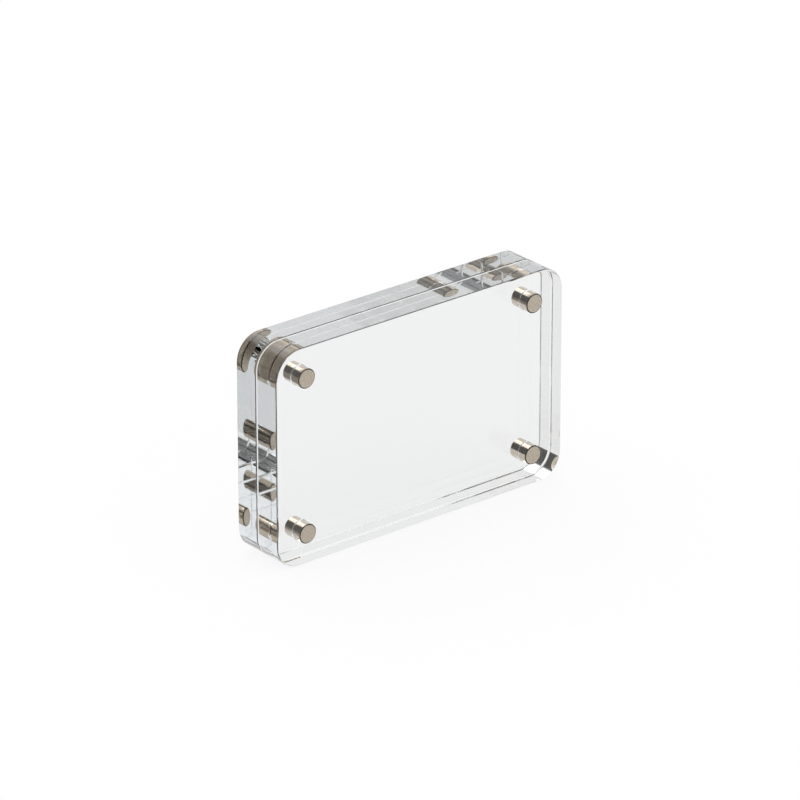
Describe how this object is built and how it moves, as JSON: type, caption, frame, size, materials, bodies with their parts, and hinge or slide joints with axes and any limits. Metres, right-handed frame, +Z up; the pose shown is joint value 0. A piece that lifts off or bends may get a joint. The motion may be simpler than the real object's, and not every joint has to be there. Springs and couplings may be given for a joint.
{
  "type": "acrylic block photo frame",
  "caption": "Clear acrylic block frame: two thick rounded blocks stand face to face and are held by rod magnets in blind bores near the corners, with a print slot between them.",
  "frame": {"origin": "middle of the standing base, halfway between the outer faces of the two blocks, on the surface that the frame stands on", "axes": "+X to the right along the width as the viewer sees it, -Y out of the front face towards the viewer, +Y out of the back face, +Z up"},
  "size_m": [0.14, 0.0242, 0.089],
  "materials": {
    "front_acrylic": "clear cast acrylic, polished on every face and edge",
    "back_acrylic": "clear cast acrylic, polished on every face and edge",
    "front_nickel": "bright nickel plating on a sintered magnet with chamfered rims",
    "back_nickel": "bright nickel plating on a sintered magnet with chamfered rims"
  },
  "bodies": {
    "back": {"back_block": "back_acrylic", "back_magnet_upper_left": "back_nickel", "back_magnet_upper_right": "back_nickel", "back_magnet_lower_left": "back_nickel", "back_magnet_lower_right": "back_nickel"},
    "front": {"front_block": "front_acrylic", "front_magnet_upper_left": "front_nickel", "front_magnet_upper_right": "front_nickel", "front_magnet_lower_left": "front_nickel", "front_magnet_lower_right": "front_nickel"}
  },
  "joints": [
    {"name": "front_block_pull", "type": "slide", "parent": "back", "child": "front", "axis": [0, -1, 0], "range_m": [0, 0.04]}
  ]
}
